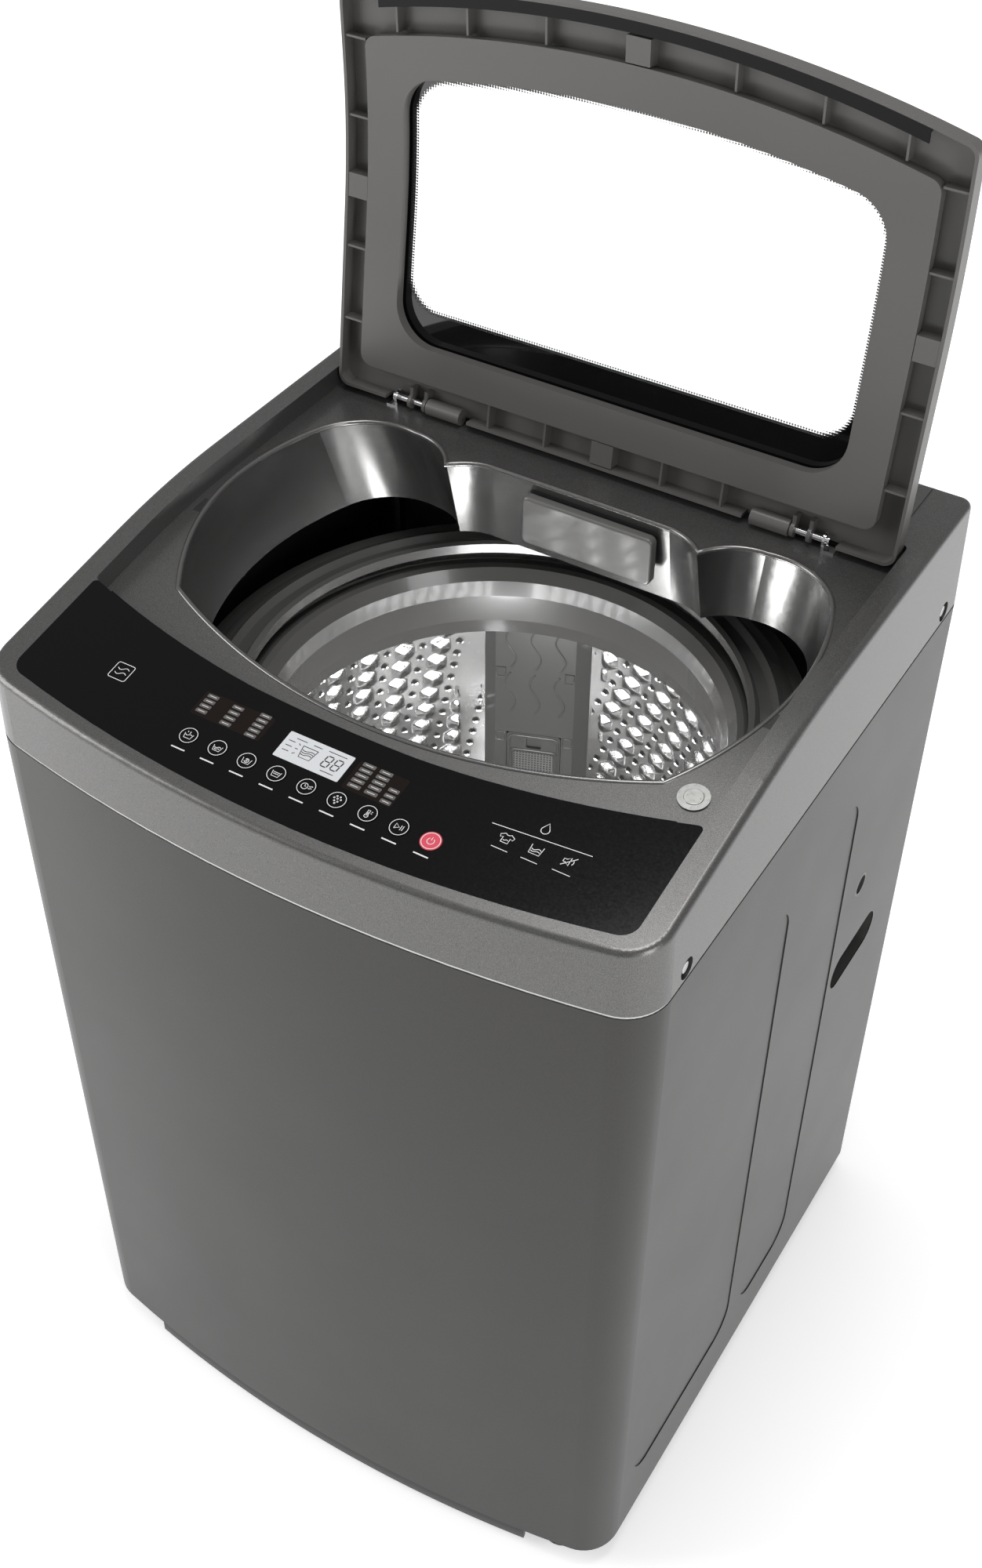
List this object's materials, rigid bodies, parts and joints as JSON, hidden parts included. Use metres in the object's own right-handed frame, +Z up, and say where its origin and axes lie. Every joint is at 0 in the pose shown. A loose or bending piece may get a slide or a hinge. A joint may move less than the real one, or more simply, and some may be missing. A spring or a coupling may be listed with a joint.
{
  "type": "top load washing machine",
  "caption": "Top-loading washing machine with a see-through lid standing open, front control strip, steel basket, finned wash plate, hung tub, belt drive and levelling feet.",
  "frame": {"origin": "middle of the base, on the floor under the feet", "axes": "+Z up, -Y out of the front with the control panel, +X to the right seen from the front"},
  "size_m": [0.63, 0.636, 1.3497],
  "materials": {
    "case_paint": "satin",
    "zinc_sheet": "satin",
    "steel": "satin",
    "basket_steel": "mirror",
    "chrome": "polished",
    "cast_alloy": "satin",
    "cover_plastic": "satin metallic",
    "black_gloss": "gloss",
    "grey_plastic": "satin",
    "dark_plastic": "matte",
    "white_plastic": "satin",
    "clear_window": "smoked",
    "lid_glass": "clear with a black border",
    "rubber": "matte",
    "board": "matte",
    "motor_paint": "semi-gloss",
    "red_button": "gloss"
  },
  "bodies": {
    "cabinet": {"cabinet": "case_paint", "rear_panel": "zinc_sheet", "cord_gland": "dark_plastic", "side_grips": "dark_plastic", "side_plugs": "dark_plastic", "base_frame": "dark_plastic", "rear_feet": "dark_plastic", "seam_trim": "dark_plastic", "top_cover": "cover_plastic", "control_panel": "black_gloss", "display_windows": "clear_window", "control_box": "white_plastic", "control_board": "board", "lid_buffer": "rubber", "hinge_brackets": "chrome", "hinge_pins": "chrome", "drawer_housing": "dark_plastic", "inlet_valve": "white_plastic", "cover_screws": "steel", "suspension_rods": "steel", "suspension_springs": "steel", "drain_outlet": "dark_plastic", "drain_hose": "rubber"},
    "lid": {"lid_cover": "grey_plastic", "lid_frame": "grey_plastic", "lid_glass": "lid_glass", "lid_handle": "black_gloss", "lid_dampers": "grey_plastic"},
    "drawer": {"detergent_drawer": "grey_plastic"},
    "foot_left": {"foot_left": "dark_plastic"},
    "foot_right": {"foot_right": "dark_plastic"},
    "tub": {"outer_tub": "white_plastic", "tub_cover": "grey_plastic", "gearbox": "cast_alloy", "bearings": "steel", "shaft_seal": "rubber", "mount_plate": "zinc_sheet", "motor": "motor_paint", "belt": "rubber", "drain_valve": "white_plastic"},
    "basket": {"basket_wall": "basket_steel", "basket_base": "grey_plastic", "basket_hub": "steel", "balance_ring": "grey_plastic", "filter_columns": "dark_plastic"},
    "lint_filter": {"lint_filter": "dark_plastic"},
    "agitator": {"pulsator": "grey_plastic", "pulsator_screw": "chrome", "wash_shaft": "steel", "drive_pulley": "cast_alloy"},
    "rotor": {"motor_pulley": "steel"},
    "button_wash": {"button_wash": "black_gloss"},
    "button_rinse": {"button_rinse": "black_gloss"},
    "button_spin": {"button_spin": "black_gloss"},
    "button_level": {"button_level": "black_gloss"},
    "button_delay": {"button_delay": "black_gloss"},
    "button_program": {"button_program": "black_gloss"},
    "button_temperature": {"button_temperature": "black_gloss"},
    "button_start": {"button_start": "black_gloss"},
    "button_power": {"button_power": "red_button"}
  },
  "joints": [
    {"name": "lid_hinge", "type": "hinge", "parent": "cabinet", "child": "lid", "pos_m": [0, 0.204, 0.952], "axis": [1, 0, 0], "range_deg": [0, 98]},
    {"name": "drawer_slide", "type": "slide", "parent": "cabinet", "child": "drawer", "axis": [0, -1, 0], "range_m": [0, 0.09]},
    {"name": "foot_left_screw", "type": "hinge", "parent": "cabinet", "child": "foot_left", "pos_m": [-0.258, -0.262, 0.01], "axis": [0, 0, 1], "range_deg": [-360, 360]},
    {"name": "foot_right_screw", "type": "hinge", "parent": "cabinet", "child": "foot_right", "pos_m": [0.258, -0.262, 0.01], "axis": [0, 0, 1], "range_deg": [-360, 360]},
    {"name": "tub_bounce", "type": "slide", "parent": "cabinet", "child": "tub", "axis": [0, 0, 1], "range_m": [-0.02, 0.01], "stiffness_N_per_m": 32000, "springref_m": 0.0106, "deforming": ["suspension_springs", "drain_hose"]},
    {"name": "basket_spin", "type": "hinge", "parent": "tub", "child": "basket", "pos_m": [0, 0.017, 0.3], "axis": [0, 0, 1], "continuous": true},
    {"name": "pulsator_spin", "type": "hinge", "parent": "tub", "child": "agitator", "pos_m": [0, 0.017, 0.3], "axis": [0, 0, 1], "continuous": true},
    {"name": "motor_spin", "type": "hinge", "parent": "tub", "child": "rotor", "pos_m": [0, -0.161, 0.2], "axis": [0, 0, 1], "continuous": true},
    {"name": "lint_filter_pull", "type": "slide", "parent": "basket", "child": "lint_filter", "axis": [0.3502, -0.9367, 0], "range_m": [0, 0.06]},
    {"name": "press_wash", "type": "slide", "parent": "cabinet", "child": "button_wash", "axis": [0, 0.1676, -0.9858], "range_m": [0, 0.0008], "stiffness_N_per_m": 600, "springref_m": -0.001},
    {"name": "press_rinse", "type": "slide", "parent": "cabinet", "child": "button_rinse", "axis": [0, 0.1676, -0.9858], "range_m": [0, 0.0008], "stiffness_N_per_m": 600, "springref_m": -0.001},
    {"name": "press_spin", "type": "slide", "parent": "cabinet", "child": "button_spin", "axis": [0, 0.1676, -0.9858], "range_m": [0, 0.0008], "stiffness_N_per_m": 600, "springref_m": -0.001},
    {"name": "press_level", "type": "slide", "parent": "cabinet", "child": "button_level", "axis": [0, 0.1676, -0.9858], "range_m": [0, 0.0008], "stiffness_N_per_m": 600, "springref_m": -0.001},
    {"name": "press_delay", "type": "slide", "parent": "cabinet", "child": "button_delay", "axis": [0, 0.1676, -0.9858], "range_m": [0, 0.0008], "stiffness_N_per_m": 600, "springref_m": -0.001},
    {"name": "press_program", "type": "slide", "parent": "cabinet", "child": "button_program", "axis": [0, 0.1676, -0.9858], "range_m": [0, 0.0008], "stiffness_N_per_m": 600, "springref_m": -0.001},
    {"name": "press_temperature", "type": "slide", "parent": "cabinet", "child": "button_temperature", "axis": [0, 0.1676, -0.9858], "range_m": [0, 0.0008], "stiffness_N_per_m": 600, "springref_m": -0.001},
    {"name": "press_start", "type": "slide", "parent": "cabinet", "child": "button_start", "axis": [0, 0.1676, -0.9858], "range_m": [0, 0.0008], "stiffness_N_per_m": 600, "springref_m": -0.001},
    {"name": "press_power", "type": "slide", "parent": "cabinet", "child": "button_power", "axis": [0, 0.1676, -0.9858], "range_m": [0, 0.0008], "stiffness_N_per_m": 600, "springref_m": -0.001}
  ],
  "couplings": [
    {"joint": "motor_spin", "follows": "pulsator_spin", "ratio": 3.6364}
  ]
}
